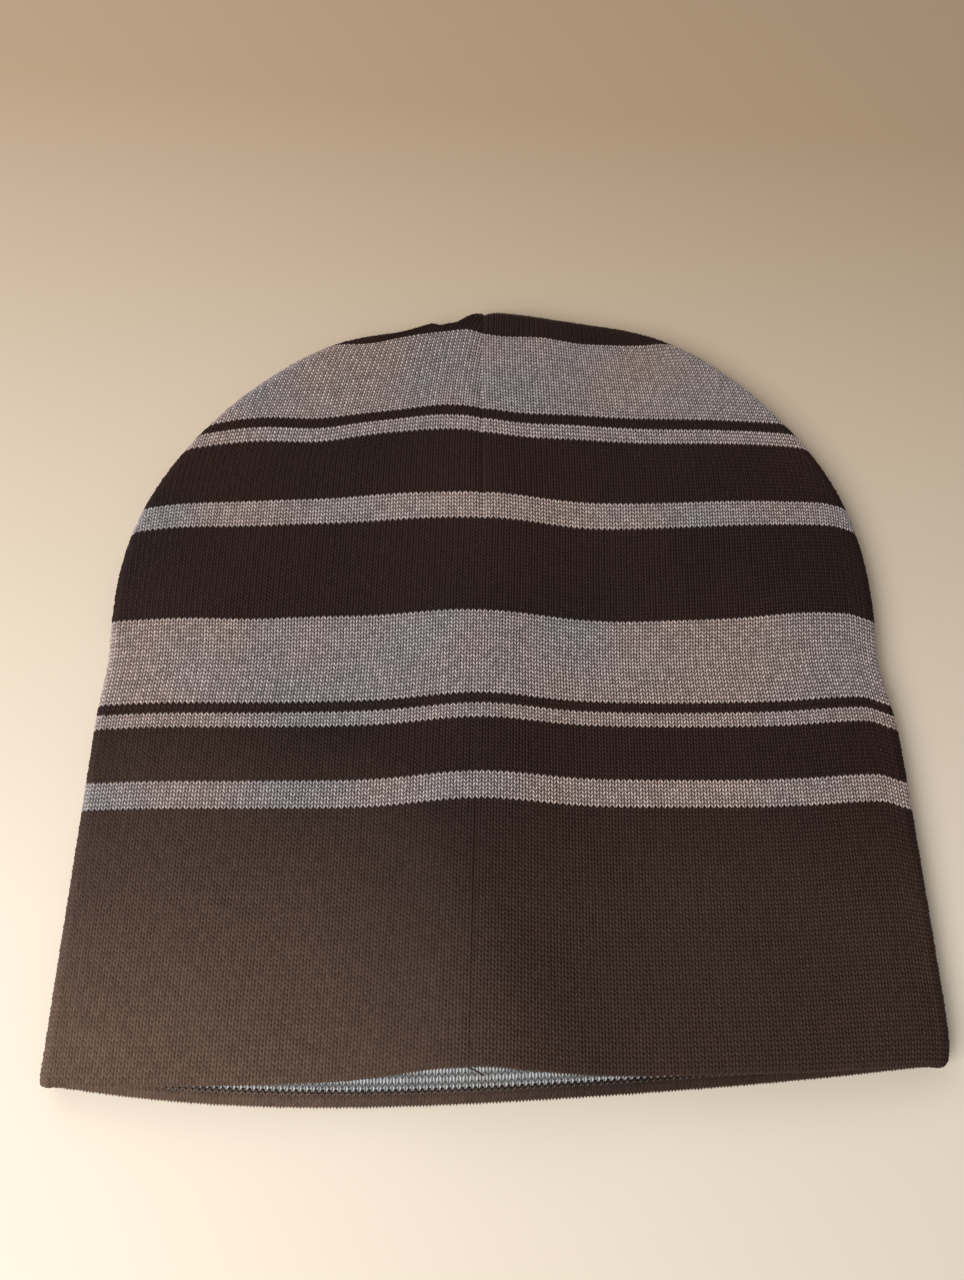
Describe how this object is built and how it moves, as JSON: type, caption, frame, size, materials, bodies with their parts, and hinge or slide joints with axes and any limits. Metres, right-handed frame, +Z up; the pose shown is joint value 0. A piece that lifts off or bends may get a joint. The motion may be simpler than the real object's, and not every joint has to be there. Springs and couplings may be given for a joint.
{
  "type": "knit beanie",
  "caption": "Striped jersey beanie with a lining, lying flat with its mouth slightly open; made of yarn bands, a lining, seams and stitches.",
  "frame": {"origin": "on the surface that the hat lies on, under the middle of its outline", "axes": "+X across the mouth, +Y from the mouth to the crown, +Z up through the hat's thickness; the side with the rear seam is up"},
  "size_m": [0.222, 0.2252, 0.0179],
  "materials": {
    "dark_yarn": "fine jersey in dark brown yarn, slightly fuzzy",
    "grey_yarn": "fine jersey in mottled warm grey yarn, slightly fuzzy",
    "lining_yarn": "fine jersey in plain grey yarn",
    "sewing_thread": "dark sewing thread"
  },
  "bodies": {
    "root": {"hem_band": "dark_yarn", "lower_grey_stripe": "grey_yarn", "lower_dark_stripe": "dark_yarn", "lower_fine_grey_stripe": "grey_yarn", "lower_fine_dark_stripe": "dark_yarn", "waist_grey_stripe": "grey_yarn", "shoulder_dark_stripe": "dark_yarn", "upper_grey_stripe": "grey_yarn", "upper_dark_stripe": "dark_yarn", "upper_fine_grey_stripe": "grey_yarn", "upper_fine_dark_stripe": "dark_yarn", "crown_grey_stripe": "grey_yarn", "crown_cap": "dark_yarn", "lining_body": "lining_yarn", "lining_crown": "lining_yarn", "rear_seam": "sewing_thread", "lining_rear_seam": "sewing_thread", "crown_rear_seam": "sewing_thread", "crown_front_seam": "sewing_thread", "crown_side_seams": "sewing_thread", "lining_crown_seams": "sewing_thread", "crown_closing_stitch": "sewing_thread", "thread_tail": "sewing_thread"}
  },
  "joints": []
}
